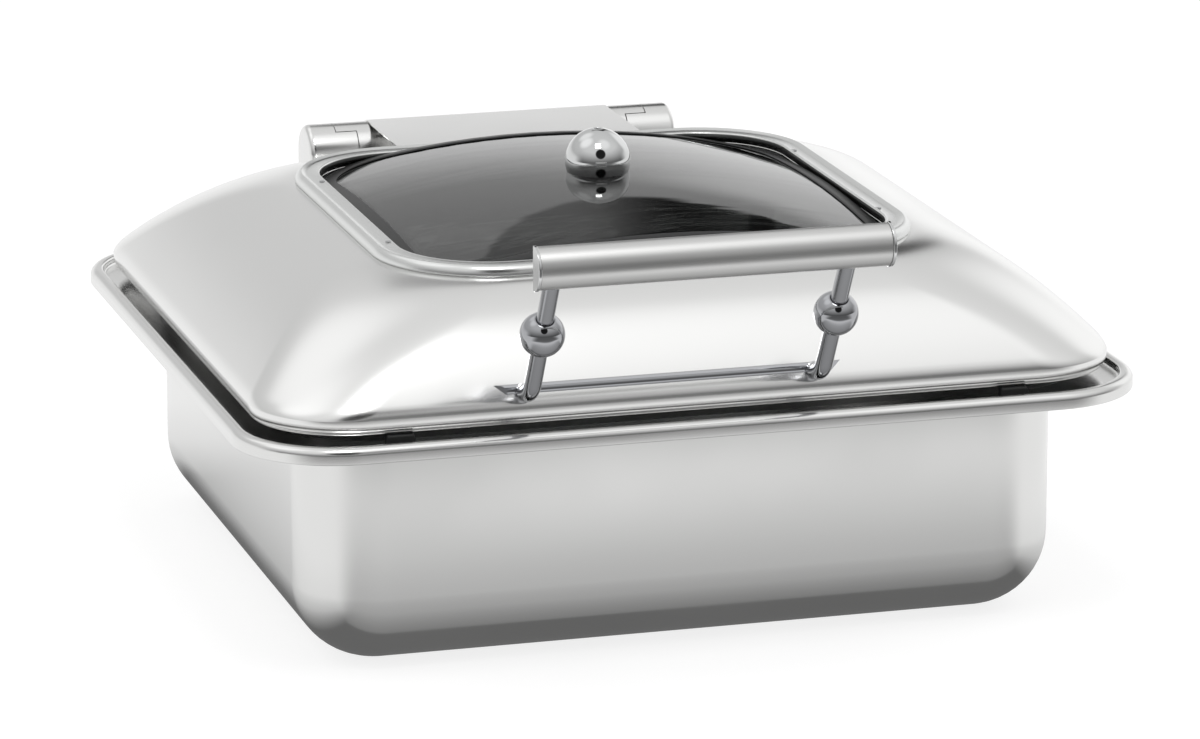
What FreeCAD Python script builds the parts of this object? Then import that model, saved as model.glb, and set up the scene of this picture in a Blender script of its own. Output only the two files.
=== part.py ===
"""Rectangular chafing dish (food warmer) with a windowed, rear-hinged lid.

A water pan rests on its flat bottom and holds a lift-out food pan. The lid is a
domed shell with a framed glass window, a vented knob and a raised front handle.
It turns on a damped hinge that stands on a bracket behind the pan.

Millimetres. +Z is up and -Y is the front, where the handle is. The origin is the
middle of the flat bottom that the dish rests on.
"""
import FreeCAD, Part
import math
import os

V = FreeCAD.Vector
UP, FRONT, ALONG = V(0, 0, 1), V(0, -1, 0), V(1, 0, 0)
os.makedirs("parts", exist_ok=True)

# ---------------------------------------------------------------- driving sizes
# water pan
pan_width = 341.0            # outside of the wall
pan_depth = 315.0
pan_corner = 36.0
pan_foot_radius = 34.0       # round between wall and bottom
pan_sheet = 1.1
# rim of the water pan
rim_width = 402.0
rim_depth = 376.0
rim_corner = 46.0
rim_top = 110.0
rim_skirt = 7.0              # height of the turned-down edge
rim_round = 3.2
plateau = 6.0                # flat land outside the gutter
gutter_drop = 3.6            # gutter floor below the land
ledge_drop = 1.8             # food pan's ledge below the gutter floor
# food pan
food_width = 354.0           # two-thirds standard container
food_depth = 325.0
food_height = 65.0
food_corner = 38.0
food_lip = 12.0              # rim's reach past the wall
food_foot_radius = 18.0
food_sheet = 0.9
food_fit = 1.5               # gap round the rim in its recess
# lid
lid_inset = 9.0              # lid edge in from the rim edge, at the sides
lid_inset_y = 10.0           # the same at front and back
lid_gap = 2.0                # daylight between lid edge and the rim's land
lid_height = 51.0            # lid edge to the window land
lid_corner = 44.0
lid_swell = 12.0             # extra corner radius half-way up
lid_sheet = 1.1
lid_hem = 2.6                # height of the turned-in edge
hem_lip = 0.6                # hem stands proud of the wall
hem_inward = 1.6
hem_round = 0.7
lid_round = 1.87             # shape of the dome's rise
lid_ease = 1.22
# window
frame_width = 243.0
frame_depth = 241.0
frame_corner = 52.0
frame_height = 4.6
frame_band = 11.5
frame_shift = -5.0           # window's middle, towards the front
frame_overhang = 1.5
frame_round = 2.0
glass_lap = 4.5              # glass edge in from the frame's opening
glass_sheet = 4.0
glass_crown = 15.0           # crown above the window land
glass_radius = 430.0         # bend from side to side
glass_radius_y = 880.0       # bend from front to back
gasket_lip = 3.5             # gasket's reach under the glass edge
gasket_under = 5.5           # gasket's depth below the land, past the glass's thickness
gasket_proud = 0.8           # gasket's lip above the glass
retainer_sheet = 2.0
retainer_wall = 4.0
retainer_screw = 1.4
retainer_screw_aside = 60.0  # screws to either side of each middle
retainer_screw_bite = 4.0    # thread above the window land
retainer_head = 2.6
retainer_head_high = 1.6
# vent knob
knob_radius = 14.7
knob_height = 18.6           # above its seat
knob_seat_radius = 10.5
knob_seat_height = 1.6
knob_wall = 1.4
knob_foot = 4.0              # cap's edge below its widest place
seat_neck = 2.5              # seat's height inside the cap
seat_play = 1.2
vent_radius = 1.7
stud_radius = 4.0
stud_fit = 0.1
stud_head = 2.5              # head's reach past the shank
stud_head_high = 2.0
stud_tail = 4.0              # thread below the nut
seal_radius = 9.0
seal_sheet = 1.0
knob_seal_sheet = 0.8
seal_sink = 0.3              # seal pressed down to the curved pane
nut_radius = 7.0
nut_height = 4.5
# handle
handle_x = -18.0             # handle's middle, left of the dish's middle
rail_length = 155.0
rail_height = 5.0
rail_proud = 3.4
rail_edge = 1.2              # depth of the rail's rounded face
rail_level = 14.0            # above the lid edge
rail_taper = 8.0             # length of its pointed ends
leg_spacing = 128.0
leg_radius = 3.7
leg_run = 2.0                # straight run out of the rail
leg_bend = 14.0
leg_slope = 60.0             # degrees from level
leg_rise = 68.0
ball_radius = 9.6
ball_drop = 2.5              # ball's middle below the leg's middle
ball_fit = 0.05
grip_length = 153.5
grip_radius = 9.2
grip_sheet = 1.2
grip_core = 4.0
grip_cap = 1.4
grip_cap_lip = 0.5
handle_screw = 1.5
grip_spigot = 2.5            # leg's reduced end in the grip's core
screw_fit = 0.1
screw_head = 3.4
screw_head_high = 3.0
screw_bite = 6.0             # thread in the leg's end
washer_radius = 5.0
washer_sheet = 1.0
plate_sheet = 2.0            # stiffening plates inside the lid
handle_plate_height = 12.0
handle_plate_inset = 4.0     # shorter than the rail, at each end
washer_stand = 3.2           # screw head's seat behind the plate
# hinge
axis_behind = 6.0            # hinge axis in front of the rim's rear edge
cover_lift = 0.4             # hinge cover's underside above the window land
barrel_radius = 14.0
hinge_half = 90.0
post_inner = 66.5            # fixed knuckle's inner face, below its notch
tab_outer = 76.5             # turning knuckle's tab reaches to here
knuckle_inner = 59.5
tab_from = 55.0              # degrees above level, front side
tab_to = 115.0
hinge_turn = 90.0
side_gap = 0.4
pin_radius = 4.0
pin_fit = 0.05
post_round = 3.0
post_bore_end = 4.0
post_step = 11.0             # post's front face starts to slope back here, below the axis
post_slope_end = 26.0        # and passes behind the lid's edge here
post_foot_top = 34.0         # and runs straight down behind the rim from here
post_clear = 1.5             # gap between the post and the rim
post_lid_clear = 4.0         # gap between the post and the lid's edge
post_screw = 2.0
post_screw_spacing = 14.0
post_screw_bite = 9.0
post_screw_fit = 0.02
post_head = 3.4
post_head_high = 2.4
damper_radius = 9.0
damper_length = 38.0
damper_fit = 0.02
knuckle_spigot = 3.0         # knuckle's spigot in the arm's barrel
spigot_fit = 0.5
cover_sheet = 1.2
cover_half = 59.0
cover_proud = 0.6            # cover's outside past the knuckles
cover_gap = 3.0              # between cover and window frame
arm_half = 52.0
arm_reach = 56.0             # arm's front edge ahead of the axis
arm_top = 0.8                # arm's top below the barrel's top
arm_under = 10.0             # tongue's underside below the axis
arm_barrel = 0.6             # arm's barrel smaller than the knuckles
arm_screw = 2.0
arm_screw_spacing = 70.0
arm_screw_edge = 14.0
arm_screw_below = 9.0        # screw's end below the plate
arm_head = 3.6
arm_head_high = 2.2
arm_head_fit = 0.2
arm_nut = 5.0
arm_nut_height = 12.0
arm_plate_width = 96.0
arm_plate_depth = 26.0
# rear bracket
bracket_half = 91.0
bracket_sheet = 3.0
bracket_drop = 38.0
bracket_top = 99.0
weld_stud = 2.5
stud_length = 11.0
stud_outer = 70.0            # studs' distance from the middle
stud_inner = 24.0
bracket_nut = 4.6
bracket_nut_height = 4.0
bumper_length = 12.0
bumper_width = 4.0
bumper_play = 0.3
bumper_round = 1.0

# ---------------------------------------------------------------- worked out
rim_bottom = rim_top - rim_skirt
gutter_floor = rim_top - gutter_drop
ledge_top = gutter_floor - ledge_drop
lid_width = rim_width - 2 * lid_inset
lid_depth = rim_depth - 2 * lid_inset_y
lid_edge = rim_top + lid_gap
land = lid_edge + lid_height
axis_y = rim_depth / 2 - axis_behind
axis_height = land + cover_lift + cover_sheet - cover_proud - barrel_radius
gasket_sink = gasket_under + glass_sheet
SIDES = {"left": -1, "right": 1}


# ---------------------------------------------------------------- small helpers
def outline(width, depth, corner, z, y=0.0):
    """Closed wire of a rounded rectangle, level, centred on x = 0."""
    hw, hd = width / 2, depth / 2
    edges = []
    for k in range(4):
        turn = k * 90.0
        along, out = (hd, hw) if k % 2 == 0 else (hw, hd)
        c, s = round(math.cos(math.radians(turn))), round(math.sin(math.radians(turn)))

        def place(px, py):
            return V(px * c - py * s, px * s + py * c + y, z)
        edges.append(Part.makeLine(place(out, corner - along), place(out, along - corner)))
        mid = corner * math.sqrt(0.5)
        edges.append(Part.Arc(place(out, along - corner),
                              place(out - corner + mid, along - corner + mid),
                              place(out - corner, along)).toShape())
    return Part.Wire(edges)


def block(width, depth, corner, low, high, y=0.0):
    """Upright prism with a rounded-rectangle plan."""
    return Part.Face(outline(width, depth, corner, low, y)).extrude(V(0, 0, high - low))


def ring(outer, inner, low, high, y=0.0):
    return block(*outer, low, high, y).cut(block(*inner, low - 1, high + 1, y))


def grow(plan, by):
    """The same plan with its edge moved out by a distance."""
    return (plan[0] + 2 * by, plan[1] + 2 * by, plan[2] + by)


def level_edges(shape, z):
    """Edges that lie at one height."""
    return [e for e in shape.Edges
            if abs(e.BoundBox.ZMin - z) < 1e-6 and abs(e.BoundBox.ZMax - z) < 1e-6]


def rod(radius, start, way, length):
    return Part.makeCylinder(radius, length, start, way)


def across(points, x_low, x_high):
    """Solid from a profile in the YZ plane; three-point entries are arcs (via, to)."""
    here = V(x_low, *points[0])
    first, edges = here, []
    for p in points[1:]:
        if len(p) == 4:
            there = V(x_low, p[2], p[3])
            edges.append(Part.Arc(here, V(x_low, p[0], p[1]), there).toShape())
        else:
            there = V(x_low, *p)
            edges.append(Part.makeLine(here, there))
        here = there
    if (here - first).Length > 1e-6:
        edges.append(Part.makeLine(here, first))
    return Part.Face(Part.Wire(edges)).extrude(V(x_high - x_low, 0, 0))


def hex_nut(reach, height, hole, centre, way):
    """Six-sided nut; reach is the distance from middle to corner."""
    corners = [V(reach * math.cos(math.radians(60 * k)), reach * math.sin(math.radians(60 * k)), 0)
               for k in range(7)]
    nut = Part.Face(Part.makePolygon(corners)).extrude(V(0, 0, height))
    nut = nut.cut(Part.makeCylinder(hole, height + 2, V(0, 0, -1)))
    nut.Placement = FreeCAD.Placement(centre, FreeCAD.Rotation(V(0, 0, 1), way))
    return nut


def save(name, shape):
    shape = shape.removeSplitter() if shape.ShapeType != "Compound" else shape
    if not shape.isValid() or shape.Volume <= 0:
        raise ValueError(name + " is not a sound solid")
    shape.exportStep("parts/" + name + ".step")
    print(f"{name:22s} {len(shape.Solids):3d} solid  {shape.Volume / 1000:9.2f} cm3")


def save_group(name, shapes):
    save(name, Part.makeCompound(shapes))


# ---------------------------------------------------------------- water pan
pan_plan = (pan_width, pan_depth, pan_corner)
rim_plan = (rim_width, rim_depth, rim_corner)
gutter_plan = grow(rim_plan, -plateau)
recess_plan = (food_width + 2 * food_fit, food_depth + 2 * food_fit, food_corner + food_fit)


def make_water_pan():
    """One sheet: bottom, walls, ledge for the food pan, gutter, land and skirt."""
    body = block(*pan_plan, 0, ledge_top)
    body = body.makeFillet(pan_foot_radius, level_edges(body, 0))
    well = block(*grow(pan_plan, -pan_sheet), pan_sheet, rim_top + 1)
    well = well.makeFillet(pan_foot_radius - pan_sheet, level_edges(well, pan_sheet))
    rim = block(*rim_plan, rim_bottom, rim_top)
    rim = rim.makeFillet(rim_round, level_edges(rim, rim_top))
    rim = rim.cut(block(*gutter_plan, gutter_floor, rim_top + 1))
    rim = rim.cut(block(*recess_plan, ledge_top, rim_top + 1))
    low = rim_bottom - 1
    rim = rim.cut(ring(grow(rim_plan, -pan_sheet), grow(gutter_plan, pan_sheet), low, rim_top - pan_sheet))
    rim = rim.cut(ring(grow(gutter_plan, pan_sheet + 0.01), grow(recess_plan, pan_sheet),
                       low, gutter_floor - pan_sheet))
    rim = rim.cut(ring(grow(recess_plan, pan_sheet + 0.01), pan_plan, low, ledge_top - pan_sheet))
    return body.fuse(rim).cut(well)


def make_bumpers():
    """Silicone pads in the gutter that the closed lid's edge comes down on."""
    y = lid_depth / 2 - bumper_width / 2
    top = lid_edge - bumper_play
    pads = []
    for sx in (-1, 1):
        for sy in (-1, 1):
            x = sx * (lid_width / 2 - lid_corner - bumper_length)
            pad = Part.makeBox(bumper_length, bumper_width, top - gutter_floor,
                               V(x - bumper_length / 2, sy * y - bumper_width / 2, gutter_floor))
            pads.append(pad.makeFillet(bumper_round, level_edges(pad, top)))
    return pads


save("water_pan", make_water_pan())
save_group("lid_bumpers", make_bumpers())

# ---------------------------------------------------------------- food pan
food_wall = (food_width - 2 * food_lip, food_depth - 2 * food_lip, food_corner + food_lip)


def make_food_pan():
    """Drawn container that hangs by its rim on the water pan's ledge."""
    top = ledge_top + food_sheet
    low = top - food_height
    body = block(*food_wall, low, top)
    body = body.makeFillet(food_foot_radius, level_edges(body, low))
    body = body.fuse(block(food_width, food_depth, food_corner, ledge_top, top))
    hollow = block(*grow(food_wall, -food_sheet), low + food_sheet, top + 1)
    hollow = hollow.makeFillet(food_foot_radius - food_sheet, level_edges(hollow, low + food_sheet))
    return body.cut(hollow)


save("food_pan", make_food_pan())


# ---------------------------------------------------------------- lid shell
top_plan = (frame_width - 2 * frame_overhang, frame_depth - 2 * frame_overhang,
            frame_corner - frame_overhang)


def dome_profile(angle):
    """Rise and inward reach of the dome's side, in mm, at 0 to 90 degrees along it."""
    rise = math.sin(angle) ** (2 / lid_ease)
    share = 1 - max(math.cos(angle), 0.0) ** (2 / lid_round)
    return lid_height * rise, share


def dome(inward=0.0):
    """Solid dome between the lid's edge and the window land, its sides moved in square to them."""
    wires = []
    reach = (lid_width - top_plan[0]) / 2
    small = 1e-3
    for step in range(7):
        angle = math.radians(15 * step)
        rise, share = dome_profile(angle)
        low = dome_profile(max(angle - small, 0.0))
        high = dome_profile(min(angle + small, math.pi / 2))
        slope = math.atan2(high[0] - low[0], (high[1] - low[1]) * reach)
        slope = {0: math.pi / 2, 6: 0.0}.get(step, slope)
        side, drop = inward * math.sin(slope), inward * math.cos(slope)
        corner = lid_corner + (top_plan[2] - lid_corner) * share + 4 * lid_swell * share * (1 - share)
        wires.append(outline(lid_width + (top_plan[0] - lid_width) * share - 2 * side,
                             lid_depth + (top_plan[1] - lid_depth) * share - 2 * side,
                             corner - side, lid_edge + rise - drop, frame_shift * share))
    return Part.makeLoft(wires, True, False)


window_plan = grow((frame_width, frame_depth, frame_corner), -frame_band)
outer_dome = dome()
inner_dome = dome(lid_sheet)
axis_point = V(0, axis_y, axis_height)
rail_z = lid_edge + rail_level
leg_x = [handle_x + sx * leg_spacing / 2 for sx in (-1, 1)]


def front_of_dome(z):
    """Y of the lid's front face at one height, on the handle's line."""
    cut = outer_dome.slice(V(1, 0, 0), handle_x)
    ys = [v.Y for w in cut for e in w.Edges for v in [Part.Vertex(p) for p in e.discretize(200)]
          if abs(v.Z - z) < 0.4 and v.Y < 0]
    return sum(ys) / len(ys)


rail_y = front_of_dome(rail_z)

arm_screw_x = [-arm_screw_spacing / 2, arm_screw_spacing / 2]
arm_screw_y = axis_y - arm_reach + arm_screw_edge


def handle_holes(radius):
    """Level bores through rail, lid and plate at the two legs."""
    return [rod(radius, V(x, rail_y - 3 * rail_proud, rail_z), V(0, 1, 0), 30) for x in leg_x]


def hinge_holes(radius):
    """Upright bores through arm, lid and plate."""
    return [rod(radius, V(x, arm_screw_y, lid_edge), V(0, 0, 1), lid_height) for x in arm_screw_x]


def make_lid_shell():
    hem_plan = (lid_width + 2 * hem_lip, lid_depth + 2 * hem_lip, lid_corner + hem_lip)
    hem = ring(hem_plan, grow(hem_plan, -hem_lip - hem_inward), lid_edge, lid_edge + lid_hem)
    hem = hem.makeFillet(hem_round, level_edges(hem, lid_edge) + level_edges(hem, lid_edge + lid_hem))
    shell = outer_dome.cut(inner_dome)
    shell = shell.fuse(hem)
    shell = shell.cut(block(*window_plan, land - 10, land + 5, frame_shift))
    for hole in handle_holes(handle_screw + screw_fit) + hinge_holes(arm_screw + screw_fit):
        shell = shell.cut(hole)
    return shell


# ---------------------------------------------------------------- window
frame_plan = (frame_width, frame_depth, frame_corner)
glass_plan = grow(window_plan, -glass_lap)
gasket_plan = grow(glass_plan, -gasket_lip)
crown = land + glass_crown


def make_window_frame():
    """Pressed ring round the window, its rim rounded over and proud of the dome."""
    body = block(*frame_plan, land, land + frame_height, frame_shift)
    body = body.makeFillet(frame_round, level_edges(body, land + frame_height))
    return body.cut(block(*window_plan, land - 1, land + frame_height + 1, frame_shift))


def pane_dome(lift=0.0):
    """Solid under the pane's outer face, or under a face a little above or below it."""
    middle = V(0, frame_shift, crown - glass_radius_y)
    return Part.makeTorus(glass_radius_y - glass_radius, glass_radius + lift, middle, ALONG)


def make_window_glass():
    """Toughened pane, ground to the window's outline and bent more across than along."""
    pane = block(*glass_plan, land - 20, crown + 1, frame_shift)
    pane = pane.common(pane_dome()).cut(pane_dome(-glass_sheet))
    return pane.cut(rod(stud_radius + stud_fit, V(0, frame_shift, land), V(0, 0, 1), 30))


def make_window_gasket(pane):
    """Moulded rubber channel that grips the glass edge; its lip follows the bent pane."""
    body = ring(window_plan, gasket_plan, land - gasket_sink, crown, frame_shift)
    return body.common(pane_dome(gasket_proud)).cut(pane)


def make_window_retainer():
    """Angle ring under the glass that clamps the gasket up against the lid."""
    top = land - lid_sheet
    low = land - gasket_sink - retainer_sheet
    body = ring(grow(window_plan, retainer_wall), gasket_plan, low, top, frame_shift)
    return body.cut(block(*window_plan, low + retainer_sheet, top + 1, frame_shift))


def make_retainer_screws():
    """Eight small screws up through the retainer into the frame."""
    half_w = window_plan[0] / 2 + retainer_wall / 2
    half_d = window_plan[1] / 2 + retainer_wall / 2
    aside = retainer_screw_aside
    spots = [(sx * half_w, sy * aside) for sx in (-1, 1) for sy in (-1, 1)]
    spots += [(sx * aside, sy * half_d) for sx in (-1, 1) for sy in (-1, 1)]
    low = land - gasket_sink - retainer_sheet - retainer_head_high
    length = land + retainer_screw_bite - low
    return [rod(retainer_screw, V(x, y + frame_shift, low), UP, length).fuse(
        rod(retainer_head, V(x, y + frame_shift, low), UP, retainer_head_high)) for x, y in spots]


glass = make_window_glass()
retainer_screws = make_retainer_screws()
screw_space = Part.makeCompound(retainer_screws)
save("lid_shell", make_lid_shell().cut(screw_space))
save("window_frame", make_window_frame().cut(screw_space))
save("window_glass", glass)
save("window_gasket", make_window_gasket(glass))
save("window_retainer", make_window_retainer().cut(screw_space))
save_group("retainer_screws", retainer_screws)

# ---------------------------------------------------------------- vent knob
knob_seat = crown + knob_seal_sheet


def turned(points):
    """Solid turned about the knob's axis from (radius, height) points; arcs have four numbers."""
    here = V(points[0][0], 0, points[0][1])
    first, edges = here, []
    for p in points[1:]:
        there = V(p[-2], 0, p[-1])
        if len(p) == 4:
            edges.append(Part.Arc(here, V(p[0], 0, p[1]), there).toShape())
        else:
            edges.append(Part.makeLine(here, there))
        here = there
    edges.append(Part.makeLine(here, first))
    solid = Part.Face(Part.Wire(edges)).revolve(V(0, 0, 0), UP, 360)
    solid.translate(V(0, frame_shift, 0))
    return solid


def make_knob_cap():
    """Hollow polished dome with a steam vent at its top."""
    top = knob_seat + knob_height
    belt = top - knob_radius
    low = belt - knob_foot
    diag = math.sqrt(0.5)
    foot = math.sqrt(knob_radius ** 2 - knob_foot ** 2)
    inner = knob_radius - knob_wall
    hole = vent_radius
    lift = math.sqrt(knob_radius ** 2 - hole ** 2)
    lift_in = math.sqrt(inner ** 2 - hole ** 2)
    foot_in = math.sqrt(inner ** 2 - knob_foot ** 2)
    return turned([(foot, low), (knob_radius * diag, belt + knob_radius * diag, hole, belt + lift),
                   (hole, belt + lift_in), (inner * diag, belt + inner * diag, foot_in, low)])


def make_knob_seat():
    """Turned seat that the cap is pressed on; the hollow stud goes through it."""
    low = knob_seat
    edge = knob_seat + knob_height - knob_radius - knob_foot
    bore = stud_radius + stud_fit
    neck = knob_radius - knob_wall - seat_play
    return turned([(bore, low), (knob_seat_radius, low), (knob_seat_radius, low + knob_seat_height),
                   (neck, edge), (neck, edge + seat_neck), (bore, edge + seat_neck)])


def make_vent_stud():
    """Hollow bolt: steam passes up its middle and out at the vent."""
    low = crown - glass_sheet - seal_sheet - nut_height - stud_tail
    high = knob_seat + knob_height - knob_radius - knob_foot + seat_neck
    body = rod(stud_radius, V(0, frame_shift, low), UP, high - low)
    head = rod(stud_radius + stud_head, V(0, frame_shift, high), UP, stud_head_high)
    bore = rod(vent_radius, V(0, frame_shift, low - 1), UP, high - low + stud_head_high + 2)
    return body.fuse(head).cut(bore)


def make_seal(low, height):
    """Silicone washer round the stud."""
    washer = rod(seal_radius, V(0, frame_shift, low), UP, height)
    return washer.cut(rod(stud_radius + stud_fit, V(0, frame_shift, low - 1), UP, height + 2))


under_glass = crown - glass_sheet - 0.1
save("knob_seal", make_seal(crown - seal_sink, knob_seal_sheet + seal_sink).cut(glass))
save("knob_cap", make_knob_cap())
save("knob_seat", make_knob_seat())
save("vent_stud", make_vent_stud())
save("knob_washer", make_seal(under_glass - seal_sheet, seal_sheet))
save("knob_nut", hex_nut(nut_radius, nut_height, stud_radius + stud_fit,
                         V(0, frame_shift, under_glass - seal_sheet - nut_height), UP))


# ---------------------------------------------------------------- handle
bend_y = leg_bend * math.sin(math.radians(leg_slope))
bend_z = leg_bend * (1 - math.cos(math.radians(leg_slope)))
straight = (leg_rise - 2 * bend_z) / math.sin(math.radians(leg_slope))
leg_start_y = rail_y - rail_proud
leg_end_y = leg_start_y - 2 * leg_run - 2 * bend_y - straight * math.cos(math.radians(leg_slope))
grip_z = rail_z + leg_rise
ball_y = (leg_start_y + leg_end_y) / 2 + ball_drop / math.tan(math.radians(leg_slope))
ball_z = rail_z + leg_rise / 2 - ball_drop
leg_way = V(0, -math.cos(math.radians(leg_slope)), math.sin(math.radians(leg_slope)))


def make_rail():
    """Half-round strip that lies along the lid's front face; its ends are cut to points."""
    half = rail_length / 2
    y, z = rail_y, rail_z
    face, behind = y - rail_proud, y + rail_height
    bar = across([(behind, z - rail_height / 2), (face + rail_edge, z - rail_height / 2),
                  (face, z, face + rail_edge, z + rail_height / 2), (behind, z + rail_height / 2)],
                 handle_x - half, handle_x + half)
    low = z - rail_height
    for sx in (-1, 1):
        end = handle_x + sx * half
        corners = [V(end, behind + 1, low), V(end, y, low), V(end - sx * rail_taper, face - 1, low),
                   V(end + sx, face - 1, low), V(end + sx, behind + 1, low)]
        tip = Part.Face(Part.makePolygon(corners + corners[:1])).extrude(V(0, 0, 2 * rail_height))
        bar = bar.cut(tip)
    bar = bar.cut(outer_dome)
    for hole in handle_holes(handle_screw + screw_fit):
        bar = bar.cut(hole)
    return bar


def make_leg(x):
    """Bent rod from rail to grip: level, up through the ball, level again."""
    y, z = leg_start_y, rail_z
    half = math.radians(leg_slope / 2)
    corners = [V(x, y, z), V(x, y - leg_run, z)]
    low_mid = V(x, y - leg_run - leg_bend * math.sin(half), z + leg_bend * (1 - math.cos(half)))
    low_end = V(x, y - leg_run - bend_y, z + bend_z)
    high_start = low_end + leg_way * straight
    high_end = V(x, high_start.y - bend_y, high_start.z + bend_z)
    high_mid = V(x, high_end.y + leg_bend * math.sin(half), high_end.z - leg_bend * (1 - math.cos(half)))
    path = Part.Wire([Part.makeLine(*corners), Part.Arc(corners[1], low_mid, low_end).toShape(),
                      Part.makeLine(low_end, high_start), Part.Arc(high_start, high_mid, high_end).toShape(),
                      Part.makeLine(high_end, V(x, leg_end_y, high_end.z))])
    ring_wire = Part.Wire(Part.makeCircle(leg_radius, corners[0], FRONT))
    leg = path.makePipeShell([ring_wire], True, False)
    leg = leg.fuse(rod(grip_spigot, V(x, leg_end_y, grip_z), FRONT, grip_core))
    return leg.cut(rod(handle_screw + screw_fit, V(x, y, z), FRONT, screw_bite + 1))


def make_ball(x):
    ball = Part.makeSphere(ball_radius, V(x, ball_y, ball_z))
    return ball.cut(rod(leg_radius + ball_fit, V(x, ball_y, ball_z) - leg_way * 15, leg_way, 30))


def grip_profile(radius, x_low, x_high, back=0.0):
    """Half-round bar, flat at the back."""
    y = leg_end_y - back
    return across([(y, grip_z - radius), (y - radius, grip_z, y, grip_z + radius)], x_low, x_high)


grip_low = handle_x - grip_length / 2 + grip_cap
grip_high = handle_x + grip_length / 2 - grip_cap


def make_grip():
    return grip_profile(grip_radius, grip_low, grip_high).cut(
        grip_profile(grip_radius - grip_sheet, grip_low - 1, grip_high + 1))


def make_grip_core():
    """Flat bar inside the grip's open back; the legs are screwed into it."""
    bar = grip_profile(grip_radius - grip_sheet, grip_low, grip_high)
    front = Part.makeBox(grip_length, 20, 40, V(grip_low - 1, leg_end_y - grip_core - 20, grip_z - 20))
    bar = bar.cut(front)
    for x in leg_x:
        bar = bar.cut(rod(grip_spigot + screw_fit, V(x, leg_end_y + 1, grip_z), FRONT, grip_core + 2))
    return bar


def make_grip_cap(low):
    return grip_profile(grip_radius + grip_cap_lip, low, low + grip_cap)


def make_handle_plate():
    """Strip inside the lid that spreads the handle's load."""
    half = rail_length / 2 - handle_plate_inset
    height = handle_plate_height
    bar = Part.makeBox(2 * half, 14, height, V(handle_x - half, rail_y - 2, rail_z - height / 2))
    bar = bar.common(inner_dome).cut(dome(lid_sheet + plate_sheet))
    for hole in handle_holes(handle_screw + screw_fit):
        bar = bar.cut(hole)
    return bar


plate_face_y = rail_y + lid_sheet + plate_sheet + washer_stand


def make_handle_screws():
    length = plate_face_y - leg_start_y + screw_bite
    return [rod(handle_screw, V(x, plate_face_y, rail_z), FRONT, length).fuse(
        rod(screw_head, V(x, plate_face_y, rail_z), -FRONT, screw_head_high)) for x in leg_x]


def make_handle_washers():
    """Bevelled washers that square the screw heads to the sloping plate."""
    washers = []
    for x in leg_x:
        washer = rod(washer_radius, V(x, plate_face_y, rail_z), FRONT, 8.0)
        washer = washer.common(dome(lid_sheet + plate_sheet))
        washers.append(washer.cut(rod(handle_screw + screw_fit, V(x, plate_face_y + 1, rail_z), FRONT, 12)))
    return washers


save("handle_rail", make_rail())
for name, x in zip(SIDES, leg_x):
    save("handle_leg_" + name, make_leg(x))
    save("handle_ball_" + name, make_ball(x))
save("handle_grip", make_grip())
save("grip_core", make_grip_core())
save("grip_cap_left", make_grip_cap(grip_low - grip_cap))
save("grip_cap_right", make_grip_cap(grip_high))
save("handle_plate", make_handle_plate())
save_group("handle_screws", make_handle_screws())
save_group("handle_washers", make_handle_washers())


# ---------------------------------------------------------------- hinge
def barrel(radius, x_low, x_high):
    return rod(radius, V(x_low, axis_y, axis_height), ALONG, x_high - x_low)


def sector(start, end, x_low, x_high, radius=30.0):
    """Wedge about the hinge axis; angles are above level at the front, turning over the top to the back."""
    points = [(axis_y, axis_height)]
    steps = 8
    for k in range(steps + 1):
        angle = math.radians(start + (end - start) * k / steps)
        points.append((axis_y - radius * math.cos(angle), axis_height + radius * math.sin(angle)))
    return across(points, x_low, x_high)


def make_post():
    """Left post: knuckle with a rounded end, and a leg that steps back behind the rim."""
    outer, inner = -hinge_half, -post_inner
    r, y, z = barrel_radius, axis_y, axis_height
    clear = rim_depth / 2 + post_clear
    shape = [(y - r, z), (y - r, z - post_step), (lid_depth / 2 + post_lid_clear, z - post_slope_end),
             (clear, z - post_foot_top), (clear, bracket_top), (y + r, bracket_top), (y + r, z)]
    leg = across(shape, outer, inner)
    body = leg.fuse(barrel(r, outer, -tab_outer)).fuse(barrel(r, -tab_outer, inner)).removeSplitter()
    ends = [e for e in body.Edges if abs(e.BoundBox.XMin - outer) < 1e-6
            and abs(e.BoundBox.XMax - outer) < 1e-6 and e.BoundBox.ZMax > z - post_step - 1]
    body = body.makeFillet(post_round, ends)
    body = body.cut(sector(tab_from, tab_to + hinge_turn + 6, -tab_outer, -post_inner + 1))
    body = body.cut(barrel(pin_radius, outer + post_bore_end, inner + 1))
    for hole in post_holes(post_screw, -1, post_screw_bite + 3):
        body = body.cut(hole)
    return body


def make_knuckle():
    """Left turning knuckle; its tab runs out over the post's notch and stops the lid."""
    body = barrel(barrel_radius, -post_inner + side_gap, -knuckle_inner)
    tab = barrel(barrel_radius, -tab_outer + side_gap, -post_inner + side_gap).common(
        sector(tab_from + 2, tab_to, -tab_outer, -post_inner + side_gap))
    spigot = barrel(damper_radius - spigot_fit, -knuckle_inner, -knuckle_inner + knuckle_spigot)
    body = body.fuse(tab).fuse(spigot)
    return body.cut(barrel(pin_radius + pin_fit, -hinge_half, 0))


post_foot = (rim_depth / 2 + post_clear + axis_y + barrel_radius) / 2


def post_holes(radius, side, rise):
    """Upright bores in a post's foot."""
    middle = (hinge_half + post_inner) / 2
    return [rod(radius, V(side * middle + dx, post_foot, bracket_top - bracket_sheet - 1), UP,
                rise + bracket_sheet + 1) for dx in (-post_screw_spacing / 2, post_screw_spacing / 2)]


def mirrored(shape):
    return shape.mirror(V(0, 0, 0), ALONG)


arm_top_z = axis_height + barrel_radius - arm_top


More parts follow.
